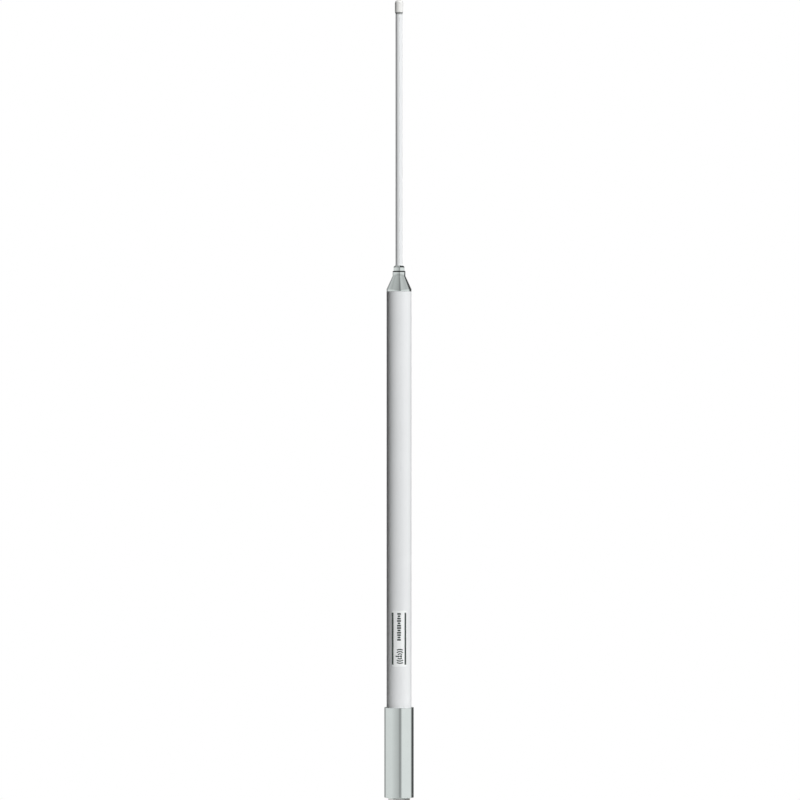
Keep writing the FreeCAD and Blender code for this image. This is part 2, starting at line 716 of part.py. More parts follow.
# The beads divide the wire's length inside the whip into equal stretches.
BEAD_STEP = f"(({WIRE_LENGTH} - whip_seat) / (bead_count + 1))"
beads = ring("radiator_beads", f"{WHIP_BASE} + {BEAD_STEP} - bead_length / 2", WIRE_HOLE,
             f"{WHIP_BORE} - bead_gap", "bead_length")
repeat(beads, "bead_count", BEAD_STEP)
piece(beads, "radiator_beads")

cap = turned("tip_cap", f"{WHIP_TOP} - cap_grip", [
    (WHIP_HOLE, "0"),
    (CAP_RADIUS, "0"),
    (CAP_RADIUS, "cap_height"),
    ("0", "cap_height"),
    ("0", "cap_grip"),
    (WHIP_HOLE, "cap_grip"),
])
cap_blank = cap.Tip
cap_face = cap_blank.Shape.BoundBox.ZMax
crown = [f"Edge{n}" for n, edge in enumerate(cap_blank.Shape.Edges, start=1)
         if edge.Closed and abs(edge.BoundBox.ZMin - cap_face) < 1e-6]
dome = cap.newObject("PartDesign::Fillet", "Fillet")
dome.Base = (cap_blank, crown)
bind(dome, "Radius", f"min({CAP_RADIUS} - cap_flat; cap_height - cap_flat)")
piece(cap, "tip_cap")

# ---- Check, then write ----

doc.recompute()
for thing in doc.Objects:
    if "Invalid" in thing.State or "Error" in thing.State:
        raise RuntimeError(f"{thing.Name} ({thing.Label}) failed: {thing.State}")
for thing in pieces:
    if thing.Shape.isNull() or not thing.Shape.isValid() or not thing.Shape.Solids:
        raise RuntimeError(f"{thing.Label} has no sound solid")
os.makedirs("parts", exist_ok=True)
for thing in pieces:
    thing.Shape.exportStep(os.path.join("parts", f"{thing.Label}.step"))
    box = thing.Shape.BoundBox
    print(f"{thing.Label:20s} solids {len(thing.Shape.Solids)} radius {max(box.XMax, box.YMax):6.2f} "
          f"z {box.ZMin:8.2f} to {box.ZMax:8.2f} volume {thing.Shape.Volume:10.1f}")
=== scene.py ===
"""Omnidirectional antenna: the visual model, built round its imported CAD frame."""
import json
import math

import bpy
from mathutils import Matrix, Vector


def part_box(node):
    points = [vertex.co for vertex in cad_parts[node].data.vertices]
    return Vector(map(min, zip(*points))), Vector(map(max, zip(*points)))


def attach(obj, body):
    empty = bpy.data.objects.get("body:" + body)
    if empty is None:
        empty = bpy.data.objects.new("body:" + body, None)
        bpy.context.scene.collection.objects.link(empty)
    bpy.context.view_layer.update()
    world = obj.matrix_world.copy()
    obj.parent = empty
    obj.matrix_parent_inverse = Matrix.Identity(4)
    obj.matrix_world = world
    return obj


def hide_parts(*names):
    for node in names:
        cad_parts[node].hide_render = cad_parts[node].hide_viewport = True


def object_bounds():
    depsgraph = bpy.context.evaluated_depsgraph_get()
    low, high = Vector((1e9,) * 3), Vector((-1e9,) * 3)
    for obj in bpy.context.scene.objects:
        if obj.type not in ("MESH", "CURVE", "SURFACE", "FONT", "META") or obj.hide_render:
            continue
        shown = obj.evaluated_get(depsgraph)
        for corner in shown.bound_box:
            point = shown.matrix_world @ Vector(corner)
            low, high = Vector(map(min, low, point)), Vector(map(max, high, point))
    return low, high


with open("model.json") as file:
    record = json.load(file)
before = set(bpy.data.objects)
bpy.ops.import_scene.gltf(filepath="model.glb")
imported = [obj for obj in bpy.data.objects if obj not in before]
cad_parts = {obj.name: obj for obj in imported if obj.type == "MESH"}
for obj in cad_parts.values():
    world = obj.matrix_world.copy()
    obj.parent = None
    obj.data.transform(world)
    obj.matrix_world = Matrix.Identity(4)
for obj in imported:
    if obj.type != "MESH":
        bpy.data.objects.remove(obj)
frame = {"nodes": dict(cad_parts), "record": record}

bl_info = {
    "name": "Omnidirectional antenna",
    "version": (1, 0, 0),
    "blender": (4, 5, 0),
    "location": "3D View > Sidebar > Antenna",
    "description": "Builds the finished pieces of a glass-fibre omnidirectional antenna",
    "category": "Object",
}

MM = 0.001
WELD = 0.001 * MM
# Steps round each turned piece. Threaded pieces have as many as their threads, so that the cuts
# stay clean.
TUBE_STEPS = 144
THREAD_STEPS = 96
WHIP_STEPS = 72
HOLE_STEPS = 48
# How deep each thread is cut, in pitches: the jack's, the other outside ones, and in the bore.
JACK_THREAD = 0.58
SCREW_THREAD = 0.55
BORE_THREAD = 0.3
CAD_BOX = [list(corner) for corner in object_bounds()]


# ---- What the frame says ----

def radius_of(node):
    low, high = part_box(node)
    return (high.x - low.x) / 2


def foot_of(node):
    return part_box(node)[0].z


def top_of(node):
    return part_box(node)[1].z


def mount_size(name, key):
    """A mount's size from the record, in metres."""
    mount = next(m for m in frame["record"]["mounts"] if m["name"] == name)
    return mount["dims"][key] * MM


RADOME = radius_of("lower_radome")
MAST = radius_of("mounting_tube")
WHIP = radius_of("whip_tube")
NECK = radius_of("joint_washer")
JACK_MOUTH = foot_of("connector_shell")


# ---- Sizes and colours that a user would change ----

def length(name, description, millimetres):
    return bpy.props.FloatProperty(
        name=name, description=description, default=millimetres * MM, unit="LENGTH", precision=5)


def linear(code):
    """An sRGB hex colour as linear red, green and blue."""
    parts = [int(code[k:k + 2], 16) / 255 for k in (0, 2, 4)]
    return tuple(c / 12.92 if c <= 0.04045 else ((c + 0.055) / 1.055) ** 2.4 for c in parts)


def colour(name, description, code):
    return bpy.props.FloatVectorProperty(
        name=name, description=description, default=linear(code), subtype="COLOR", min=0, max=1)


class AntennaSizes(bpy.types.PropertyGroup):
    """Sizes of the finished pieces that their CAD boxes don't give."""
    edge_round: length("Edge rounding", "Radius on turned metal edges", 0.35)
    soft_round: length("Soft rounding", "Radius on moulded edges", 0.2)
    bond_gap: length("Bond gap", "Glue between the mounting tube and the radome", 0.1)
    radome_wall: length("Radome wall", "Wall of the thick glass-fibre tube", 2.5)
    whip_wall: length("Whip wall", "Wall of the thin glass-fibre tube", 1.2)
    grub_hole: length("Grub screw hole", "Diameter of the two holes at the back", 4.0)
    ferrule_spigot: length("Ferrule spigot", "Length of the top ferrule inside the radome", 20.0)
    spigot_gap: length("Spigot gap", "Gap between the spigot and the radome's bore", 0.1)
    ferrule_rim: length("Ferrule rim", "Height of the ferrule's full-width rim", 2.5)
    ferrule_neck: length("Ferrule neck", "Height of the ferrule's narrow neck", 4.0)
    ferrule_floor: length("Ferrule floor", "Metal left below the threaded bore, above the rim's foot", 3.0)
    former_pin: length("Former pin", "Diameter of the blind hole for the coil former", 3.04)
    former_pin_depth: length("Former pin depth", "Depth of that blind hole", 5.5)
    stud: length("Stud", "Major diameter of the whip's threaded stud", 10.0)
    stud_length: length("Stud length", "Length of the whip's threaded stud", 16.0)
    stud_gap: length("Stud gap", "Running gap between the stud and its bore", 0.05)
    stud_pitch: length("Stud pitch", "Pitch of the whip's M10 thread", 1.5)
    whip_seat: length("Whip seat", "Height of the whip's foot above the stud's", 5.0)
    whip_gap: length("Whip gap", "Glue gap round the whip in its ferrule and cap", 0.025)
    wire: length("Wire hole", "Diameter of the hole for the upper radiator", 2.54)
    collar_height: length("Collar height", "Height of the whip ferrule's collar", 3.5)
    collar_lip: length("Collar lip", "Wall left at the top of the collar's taper", 0.8)
    collar_flats: length("Collar flats", "Size across the collar's two spanner flats", 11.0)
    cap_grip: length("Cap grip", "Depth of the whip inside the tip cap", 11.0)
    cap_flat: length("Cap flat", "Radius of the flat on top of the tip cap", 0.8)
    cap_neck: length("Cap neck", "Diameter of the narrow foot below the cap's rim", 7.7)
    cap_neck_height: length("Cap neck height", "Height of that narrow foot", 0.9)
    # The next three place a painted shadow under the cap's rim: a dark grey in the colour stands in for the
    # shade that the rim casts.
    painted_shadow_edge: length("Grime edge", "Half the height over which grime fades at the cap's rim", 0.1)
    painted_shadow_reach: length("Grime reach", "How far below the cap the whip's grime ends", 1.7)
    painted_shadow_full: length("Grime full", "How far below the cap that grime is at its strongest", 0.5)
    hex_flats: length("Hex flats", "Size across the jack's hex", 19.0)
    hex_height: length("Hex height", "Height of the jack's hex", 5.0)
    hex_chamfer: length("Hex chamfer", "Height of the turned corners on the hex", 0.6)
    jack_pitch: length("Jack pitch", "Pitch of the 5/8-24 thread", 25.4 / 24)
    jack_lead_in: length("Jack lead-in", "Chamfer at the start of that thread", 0.7 * 25.4 / 24)
    relief: length("Thread relief", "Diameter of the neck behind the jack's thread", 14.2)
    relief_length: length("Relief length", "Length of that neck", 1.5)
    rear_thread: length("Rear thread", "Diameter of the thread in the base plug", 14.0)
    rear_pitch: length("Rear pitch", "Pitch of the thread in the base plug", 1.0)
    socket: length("Socket bore", "Diameter of the jack's bore", 8.1)
    socket_depth: length("Socket depth", "Depth of the jack's bore", 26.5)
    crimp_bore: length("Crimp bore", "Bore of the crimp spigot", 3.19)
    crimp_spigot: length("Crimp spigot", "Diameter of the crimp spigot", 3.99)
    crimp_length: length("Crimp length", "Length of the crimp spigot", 8.0)
    label_corner: length("Label corner", "Radius of the label's corners", 1.6)
    film_thickness: length("Film thickness", "Thickness of the printed film", 0.15)
    ink_height: length("Ink height", "Height of the print above the film", 0.02)
    bar_width: length("Bar width", "Width of the label's two upright bars", 2.0)
    bar_spread: length("Bar spread", "Distance of each bar from the label's middle, along the film", 6.72)
    bar_margin: length("Bar margin", "Film left above and below the bars", 2.0)
    dash_height: length("Dash height", "Height of each dash of the label's print", 1.75)
    dash_gap: length("Dash gap", "Gap between two dashes", 0.65)
    dash_inset: length("Dash inset", "From the film's top to the middle of the first dash", 3.2)
    sign_height: length("Sign height", "From the film's foot to the middle of the sign", 10.6)
    wave_stroke: length("Wave stroke", "Width of the line of each wave in the sign", 1.15)
    view_distance: length("View distance", "From the camera to the antenna's axis", 5000)
    foot_margin: length("Foot margin", "What the view shows below the mounting tube", 2.6)
    axis_offset: length("Axis offset", "How far left of the view's middle the axis stands", 1.0)
    floor_radius: length("Floor radius", "Radius of the pale disc below the antenna", 170)
    floor_thickness: length("Floor thickness", "Thickness of that disc", 6)


class AntennaColours(bpy.types.PropertyGroup):
    """Base colours of the antenna's finishes."""
    lacquer: colour("Lacquer", "White lacquer on the glass-fibre tubes", "E8EAEB")
    cap: colour("Tip cap", "White moulded cap", "ECECEA")
    # Painted shadow: a dark grey put into the colour below the cap's rim, in place of the shade that the rim
    # casts.
    painted_shadow: colour("Painted shadow", "Grime that gathers below the cap's rim", "8E908F")
    film: colour("Label film", "White vinyl film", "FAFCFC")
    ink: colour("Ink", "Slate print", "39423F")
    chrome: colour("Chromium", "Polished chromium plate", "D3DAD8")
    nickel: colour("Nickel", "Bright nickel plate", "CFD1CD")
    gold: colour("Gold", "Hard gold plate", "E6BD6A")
    brass: colour("Brass", "Turned brass", "D9B866")
    copper: colour("Copper", "Drawn copper", "DB9070")
    tin: colour("Tin", "Tinned copper wire", "BDB9B0")
    rubber: colour("Nitrile rubber", "Black nitrile rubber", "1B1B1C")
    sheath: colour("Sheath", "Black PVC and heat-shrink", "17181A")
    ptfe: colour("PTFE", "White PTFE", "F1F1EC")
    polyethylene: colour("Polyethylene", "Milky polyethylene", "DEE0DB")
    foam: colour("Foam", "White polyethylene foam", "E8E8E4")
    ferrite: colour("Ferrite", "Sintered ferrite", "33343A")
    steel: colour("Black steel", "Oxide-blackened steel", "26262A")
    paper: colour("Floor", "Pale paper", "F0F0EF")


# ---- Materials ----

def add_node(tree, kind, inputs=None, feeds=None, **settings):
    """Add a node with its settings, set or link its inputs, and link its outputs onwards."""
    node = tree.nodes.new(kind)
    for key, value in settings.items():
        setattr(node, key, value)
    for key, value in (inputs or {}).items():
        if isinstance(value, bpy.types.NodeSocket):
            tree.links.new(value, node.inputs[key])
        else:
            node.inputs[key].default_value = value
    for key, socket in (feeds or {}).items():
        tree.links.new(node.outputs[key], socket)
    return node


def start_material(name, base, metallic, **sockets):
    """A new material with its constants on the shader's own sockets."""
    material = bpy.data.materials.new(name)
    material.use_nodes = True
    tree = material.node_tree
    surface = tree.nodes["Principled BSDF"]
    surface.inputs["Base Color"].default_value = (*base, 1)
    surface.inputs["Metallic"].default_value = metallic
    for key, value in sockets.items():
        surface.inputs[key.replace("_", " ")].default_value = value
    place = add_node(tree, "ShaderNodeTexCoord").outputs["Object"]
    return material, tree, surface.inputs, place


def dress(tree, surface, base, polish, shade, relief):
    """Give a surface its texture. Polish is a pattern and the roughness at its low and high,
    shade a pattern and the share of the base colour that it takes away, and relief a pattern and
    its depth."""
    pattern, smooth, rough = polish
    add_node(tree, "ShaderNodeMapRange", {"Value": pattern, "To Min": smooth, "To Max": rough},
             {"Result": surface["Roughness"]})
    pattern, share = shade
    darker = tuple(c * (1 - share) for c in base)
    add_node(tree, "ShaderNodeMix", {"Factor": pattern, "A": (*darker, 1), "B": (*base, 1)},
             {"Result": surface["Base Color"]}, data_type="RGBA")
    pattern, depth = relief
    add_node(tree, "ShaderNodeBump", {"Height": pattern, "Distance": depth, "Strength": 1.0},
             {"Normal": surface["Normal"]})


# How far a grain is drawn out along each axis: up the antenna, or round it in rings.
LENGTHWISE = (1, 1, 0.02)
ROUNDWISE = (0.03, 0.03, 1)


def lacquered_fibre(name, base):
    """Two-pack lacquer sprayed over glass fibre: soft gloss, a fine orange peel, and the faint
    lengthwise print of the rovings below. Dust dulls it in broad patches."""
    material, tree, surface, place = start_material(name, base, 0.0, IOR=1.48, Specular_IOR_Level=0.3)
    # Orange peel is about 1.4 mm across, and a roving's print about 0.9 mm.
    peel = add_node(tree, "ShaderNodeTexNoise", {"Vector": place, "Scale": 1 / (1.4 * MM), "Detail": 2.0})
    upright = add_node(tree, "ShaderNodeMapping", {"Vector": place, "Scale": LENGTHWISE})
    roving = add_node(tree, "ShaderNodeTexNoise", {
        "Vector": upright.outputs["Vector"], "Scale": 1 / (0.9 * MM), "Detail": 3.0})
    both = add_node(tree, "ShaderNodeMath", {0: peel.outputs["Fac"], 1: roving.outputs["Fac"]},
                    operation="ADD").outputs["Value"]
    dust = add_node(tree, "ShaderNodeTexNoise", {
        "Vector": place, "Scale": 1 / (28 * MM), "Detail": 6.0}).outputs["Fac"]
    dress(tree, surface, base, (dust, 0.36, 0.5), (dust, 0.06), (both, 0.03 * MM))
    return material


def worked_metal(name, base, roughness, grain, line, depth):
    """Metal that shows how it was worked: fine lines along the grain, a bright surface between
    them, and handling marks that cloud it here and there."""
    material, tree, surface, place = start_material(name, base, 1.0)
    along = add_node(tree, "ShaderNodeMapping", {"Vector": place, "Scale": grain})
    lines = add_node(tree, "ShaderNodeTexNoise", {
        "Vector": along.outputs["Vector"], "Scale": 1 / line, "Detail": 4.0, "Roughness": 0.6}).outputs["Fac"]
    # Finger marks are about 9 mm across.
    marks = add_node(tree, "ShaderNodeTexNoise", {
        "Vector": place, "Scale": 1 / (9 * MM), "Detail": 8.0}).outputs["Fac"]
    haze = add_node(tree, "ShaderNodeMath", {0: lines, 1: marks}, operation="MULTIPLY").outputs["Value"]
    dress(tree, surface, base, (haze, roughness * 0.6, roughness * 1.9), (marks, 0.08), (lines, depth))
    return material


def moulded(name, base, roughness, grain, depth, **sockets):
    """Plastic, rubber or foam from a mould or die: a fine, even grain and a little mottling."""
    material, tree, surface, place = start_material(name, base, 0.0, **sockets)
    texture = add_node(tree, "ShaderNodeTexNoise", {
        "Vector": place, "Scale": 1 / grain, "Detail": 3.0}).outputs["Fac"]
    mottle = add_node(tree, "ShaderNodeTexNoise", {
        "Vector": place, "Scale": 1 / (8 * grain), "Detail": 4.0}).outputs["Fac"]
    dress(tree, surface, base, (texture, roughness - 0.06, roughness + 0.08), (mottle, 0.1), (texture, depth))
    return material


def sintered(name, base):
    """Sintered ferrite: a dull, pitted ceramic whose grains, 0.5 mm as drawn, catch the light."""
    material, tree, surface, place = start_material(name, base, 0.0, IOR=2.2)
    grains = add_node(tree, "ShaderNodeTexVoronoi", {
        "Vector": place, "Scale": 1 / (0.5 * MM)}).outputs["Distance"]
    dress(tree, surface, base, (grains, 0.45, 0.75), (grains, 0.35), (grains, 0.02 * MM))
    return material


def braided(name, base):
    """Braided wire screen: two sets of fine strands that cross at a slant. The strands are drawn
    0.5 mm wide, coarser than the real 0.15 mm, so that they show."""
    material, tree, surface, place = start_material(name, base, 1.0)
    parts = add_node(tree, "ShaderNodeSeparateXYZ", {"Vector": place}).outputs
    angle = add_node(tree, "ShaderNodeMath", {0: parts["Y"], 1: parts["X"]}, operation="ARCTAN2")
    climb = add_node(tree, "ShaderNodeMath", {0: parts["Z"], 1: math.tau / (6 * MM)}, operation="MULTIPLY")
    waves = []
    for sense in ("ADD", "SUBTRACT"):
        slant = add_node(tree, "ShaderNodeMath", {0: climb.outputs["Value"], 1: angle.outputs["Value"]},
                         operation=sense)
        strands = add_node(tree, "ShaderNodeMath", {0: slant.outputs["Value"], 1: 12.0}, operation="MULTIPLY")
        waves.append(add_node(tree, "ShaderNodeMath", {0: strands.outputs["Value"]}, operation="SINE"))
    cross = add_node(tree, "ShaderNodeMath", {0: waves[0].outputs["Value"], 1: waves[1].outputs["Value"]},
                     operation="MAXIMUM").outputs["Value"]
    dress(tree, surface, base, (cross, 0.55, 0.3), (cross, 0.5), (cross, 0.06 * MM))
    return material


def paint_shadow(material, clear, full, painted_shadow):
    """Painted shadow beside an edge: a surface's colour darkened towards a grey, none at one height, and all
    at the other.
    """
    tree = material.node_tree
    colour_socket = tree.nodes["Principled BSDF"].inputs["Base Color"]
    unshaded = colour_socket.links[0].from_socket
    place = add_node(tree, "ShaderNodeTexCoord").outputs["Object"]
    up = add_node(tree, "ShaderNodeSeparateXYZ", {"Vector": place}).outputs["Z"]
    share = add_node(tree, "ShaderNodeMapRange", {"Value": up, "From Min": clear, "From Max": full})
    add_node(tree, "ShaderNodeMix", {"Factor": share.outputs["Result"], "A": unshaded, "B": (*painted_shadow, 1)},
             {"Result": colour_socket}, data_type="RGBA")


def make_materials(colours):
    """Every finish on the antenna, under the record's slot that it finishes."""
    return {
        "white_lacquer": lacquered_fibre("White lacquered glass fibre", colours.lacquer),
        # ABS, injection moulded: satin, with the mould's fine spark texture.
        "tip_plastic": moulded("White ABS, moulded", colours.cap, 0.4, 0.35 * MM, 0.006 * MM, IOR=1.53),
        # Calendered vinyl, over-laminated: smoother and glossier than the lacquer beside it.
        "label_film": moulded("White vinyl film", colours.film, 0.34, 0.6 * MM, 0.003 * MM, IOR=1.52),
        "label_ink": moulded("Slate screen ink", colours.ink, 0.5, 0.25 * MM, 0.004 * MM, IOR=1.5),
        # Drawn tube, polished lengthwise before plating: a mirror with faint upright lines.
        "mount_chrome": worked_metal(
            "Chromium plate, polished lengthwise", colours.chrome, 0.09, LENGTHWISE, 0.5 * MM, 0.0006 * MM),
        # Turned parts, polished in the lathe: the same mirror with faint rings.
        "ferrule_chrome": worked_metal(
            "Chromium plate, lathe polished", colours.chrome, 0.1, ROUNDWISE, 0.35 * MM, 0.0008 * MM),
        # Electroplated nickel over machined brass: warmer than chromium, tool marks showing through.
        "nickel_brass": worked_metal(
            "Nickel plate, machined", colours.nickel, 0.15, ROUNDWISE, 0.3 * MM, 0.0015 * MM),
        "plug_brass": worked_metal(
            "Nickel plate, turned face", colours.nickel, 0.28, ROUNDWISE, 0.45 * MM, 0.002 * MM),
        "gold_contact": worked_metal("Hard gold plate", colours.gold, 0.16, ROUNDWISE, 0.2 * MM, 0.0008 * MM),
        # Plain brass, drawn and turned: a yellow metal with tarnish in its handling marks.
        "raw_brass": worked_metal("Brass, drawn", colours.brass, 0.26, LENGTHWISE, 0.5 * MM, 0.0015 * MM),
        "copper": worked_metal("Copper wire, drawn", colours.copper, 0.24, LENGTHWISE, 0.3 * MM, 0.001 * MM),
        "tinned_braid": braided("Tinned copper braid", colours.tin),
        # Black oxide on steel: nearly matt, oiled, with grey showing at the tool marks.
        "black_steel": worked_metal(
            "Steel, black oxide", colours.steel, 0.42, ROUNDWISE, 0.2 * MM, 0.002 * MM),
        # PTFE, turned from rod: waxy, with light passing a little way in.
        "ptfe": moulded("PTFE, turned", colours.ptfe, 0.46, 0.5 * MM, 0.004 * MM,
                        IOR=1.35, Subsurface_Weight=0.2, Subsurface_Scale=0.8 * MM),
        "polyethylene": moulded("Polyethylene, extruded", colours.polyethylene, 0.38, 0.8 * MM, 0.003 * MM,
                                IOR=1.51, Subsurface_Weight=0.3, Subsurface_Scale=1.0 * MM),
        # Closed-cell foam: cells of about 0.8 mm, quite matt.
        "foam_white": moulded("Polyethylene foam", colours.foam, 0.8, 0.8 * MM, 0.08 * MM, IOR=1.5),
        "black_sheath": moulded("PVC sheath, extruded", colours.sheath, 0.42, 0.9 * MM, 0.008 * MM, IOR=1.54),
        "black_rubber": moulded(
            "Nitrile rubber, moulded", colours.rubber, 0.62, 0.4 * MM, 0.01 * MM, IOR=1.52),
        "ferrite": sintered("Ferrite, sintered", colours.ferrite),
    }


# ---- Modelling ----

def start_mesh(name):
    """A new mesh in edit mode, with nothing in it and nothing else selected."""
    bpy.ops.object.select_all(action="DESELECT")
    bpy.ops.mesh.primitive_plane_add(size=MM)
    piece = bpy.context.object
    piece.name = name
    piece.data.name = name
    bpy.ops.object.mode_set(mode="EDIT")
    bpy.ops.mesh.select_all(action="SELECT")
    bpy.ops.mesh.delete(type="VERT")
    return piece


def draw(name, points, closed=True):
    """Draw an outline vertex by vertex, by extruding from the first. It stays in edit mode."""
    piece = start_mesh(name)
    bpy.ops.mesh.primitive_plane_add(size=MM)
    bpy.ops.mesh.merge(type="CENTER")
    bpy.ops.transform.translate(value=points[0])
    stops = points + points[:1] if closed else points
    for here, there in zip(stops, stops[1:]):
        bpy.ops.mesh.extrude_vertices_move(TRANSFORM_OT_translate={"value": there - here})
    bpy.ops.mesh.select_all(action="SELECT")
    bpy.ops.mesh.remove_doubles(threshold=WELD)
    return piece


def clean():
    """Weld what meets and turn every face outwards, then leave edit mode."""
    bpy.ops.mesh.select_all(action="SELECT")
    bpy.ops.mesh.remove_doubles(threshold=WELD)
    bpy.ops.mesh.normals_make_consistent(inside=False)
    bpy.ops.object.mode_set(mode="OBJECT")


def profile(*points):
    """An outline beside the antenna's axis, from (distance from the axis, height) pairs."""
    return [Vector((across, 0, up)) for across, up in points]


def arc(across, up, radius, start, end, steps):
    """Points of a rounded stretch of an outline, with its angles in degrees from level."""
    turns = [math.radians(start + (end - start) * k / steps) for k in range(steps + 1)]
    return [(across + radius * math.cos(turn), up + radius * math.sin(turn)) for turn in turns]


def turn_on_axis(name, points, steps):
    """Turn an outline about the antenna's axis, as in a lathe. An outline that starts and ends
    on the axis makes a solid, and a closed one beside it makes a tube."""
    closed = not (points[0].x < WELD and points[-1].x < WELD)
    piece = draw(name, points, closed)
    bpy.ops.mesh.spin(steps=steps, angle=math.tau, center=(0, 0, 0), axis=(0, 0, 1))
    clean()
    return piece


def apply_modifier(piece, kind, **settings):
    modifier = piece.modifiers.new(kind, kind)
    for key, value in settings.items():
        setattr(modifier, key, value)
    bpy.context.view_layer.objects.active = piece
    bpy.ops.object.modifier_apply(modifier=modifier.name)


def tube_outline(bore, outside, low, high):
    """A plain tube's outline, from its two radii and its two ends."""
    return profile((bore, low), (outside, low), (outside, high), (bore, high))


def round_edges(piece, width, segments=3):
    apply_modifier(piece, "BEVEL", width=width, segments=segments, limit_method="ANGLE",
                   angle_limit=math.radians(25), use_clamp_overlap=True, harden_normals=False)


def combine(piece, tool, operation):
    """Cut a tool from a piece, join it on, or keep only what both hold. The tool is used up."""
    apply_modifier(piece, "BOOLEAN", operation=operation, solver="EXACT", object=tool)
    bpy.data.objects.remove(tool)
    bpy.ops.object.mode_set(mode="EDIT")
    bpy.ops.mesh.select_all(action="SELECT")
    bpy.ops.mesh.remove_doubles(threshold=WELD)
    bpy.ops.mesh.dissolve_degenerate(threshold=WELD)
    bpy.ops.object.mode_set(mode="OBJECT")


def is_inside_out(piece):
    """Whether a closed mesh holds a negative volume."""
    mesh = piece.data
    mesh.calc_loop_triangles()
    corners = ([mesh.vertices[v].co for v in triangle.vertices] for triangle in mesh.loop_triangles)
    return sum(a.dot(b.cross(c)) for a, b, c in corners) < 0


def cut_flat(piece, across, degrees, low, high, extent):
    """Mill one flat, half a width from the axis, facing the given way round from +X."""
    turn = math.radians(degrees)
    reach = (across + extent) / 2
    bpy.ops.object.select_all(action="DESELECT")
    bpy.ops.mesh.primitive_cube_add(
        size=1, location=(reach * math.cos(turn), reach * math.sin(turn), (low + high) / 2),
        rotation=(0, 0, turn), scale=(extent, 4 * extent, high - low))
    combine(piece, bpy.context.object, "DIFFERENCE")


def cut_thread(piece, crest, depth, pitch, low, high):
    """Cut a 60 degree thread groove into a shaft, or into a bore where depth is negative."""
    overshoot = math.copysign(0.12 * pitch, depth)
    root_half = pitch / 16
    mouth_half = root_half + abs(depth + overshoot) * math.tan(math.radians(30))
    root = crest - depth
    mouth = crest + overshoot
    groove = draw("groove", profile(
        (root, low - root_half), (root, low + root_half),
        (mouth, low + mouth_half), (mouth, low - mouth_half)))
    bpy.ops.object.mode_set(mode="OBJECT")
    apply_modifier(groove, "SCREW", screw_offset=pitch, iterations=math.ceil((high - low) / pitch),
                   steps=THREAD_STEPS, render_steps=THREAD_STEPS, angle=math.tau, use_merge_vertices=False)
    bpy.ops.object.mode_set(mode="EDIT")
    bpy.ops.mesh.select_all(action="SELECT")
    bpy.ops.mesh.remove_doubles(threshold=WELD)
    bpy.ops.mesh.fill_holes(sides=0)
    clean()
    if is_inside_out(groove):
        bpy.ops.object.mode_set(mode="EDIT")
        bpy.ops.mesh.select_all(action="SELECT")
        bpy.ops.mesh.flip_normals()
        bpy.ops.object.mode_set(mode="OBJECT")
    combine(piece, groove, "DIFFERENCE")


def hand_over(piece, material, slot, body, *nodes):
    """Give a finished piece its material, its CAD nodes and its body."""
    bpy.ops.object.select_all(action="DESELECT")
    piece.select_set(True)
    bpy.context.view_layer.objects.active = piece
    bpy.ops.object.shade_smooth_by_angle(angle=math.radians(30))
    apply_modifier(piece, "WEIGHTED_NORMAL", keep_sharp=True, weight=100)
    piece.data.materials.clear()
    piece.data.materials.append(material)
    if nodes:
        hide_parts(*nodes)
    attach(piece, body)


def sizes():
    return bpy.context.scene.antenna_sizes


def finish_of(slot):
    return bpy.data.materials[bpy.context.scene["antenna_finishes"][slot]]


# ---- Pieces ----

class ANTENNA_OT_finishes(bpy.types.Operator):
    """Make the materials and put them on the CAD pieces"""
    bl_idname = "antenna.finishes"
    bl_label = "Materials"

    def execute(self, context):
        finishes = make_materials(context.scene.antenna_colours)
        context.scene["antenna_finishes"] = {slot: made.name for slot, made in finishes.items()}
        slots = {part["node"]: part["material_slot"] for part in frame["record"]["subparts"]}
        for node, thing in frame["nodes"].items():
            for place in thing.material_slots:
                place.material = finishes[slots[node]]
        return {"FINISHED"}


class ANTENNA_OT_radome(bpy.types.Operator):
    """Thick glass-fibre tube, with its cut ends eased"""
    bl_idname = "antenna.radome"
    bl_label = "Radome"

    def execute(self, context):
        size = sizes()
        bore = RADOME - size.radome_wall
        low, high = foot_of("lower_radome"), top_of("lower_radome")
        tube = turn_on_axis("radome_tube", tube_outline(bore, RADOME, low, high), TUBE_STEPS)
        round_edges(tube, size.soft_round)
        hand_over(tube, finish_of("white_lacquer"), "white_lacquer", "antenna_base", "lower_radome")
        return {"FINISHED"}


class ANTENNA_OT_mounting_tube(bpy.types.Operator):
    """Chromed mounting tube with rounded lips and its two screw holes at the back"""
    bl_idname = "antenna.mounting_tube"
    bl_label = "Mounting tube"

    def execute(self, context):
        size = sizes()
        bore = RADOME + size.bond_gap
        low, high = foot_of("mounting_tube"), top_of("mounting_tube")
        tube = turn_on_axis("mounting_sleeve", tube_outline(bore, MAST, low, high), TUBE_STEPS)
        round_edges(tube, size.edge_round, 4)
        screws_low, screws_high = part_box("grub_screws")
        hole = size.grub_hole / 2
        for height in (screws_low.z + hole, screws_high.z - hole):
            bpy.ops.object.select_all(action="DESELECT")
            bpy.ops.mesh.primitive_cylinder_add(
                vertices=HOLE_STEPS, radius=hole, depth=4 * size.radome_wall, location=(0, MAST, height),
                rotation=(math.pi / 2, 0, 0))
            combine(tube, bpy.context.object, "DIFFERENCE")
        hand_over(tube, finish_of("mount_chrome"), "mount_chrome", "antenna_base", "mounting_tube")
        return {"FINISHED"}


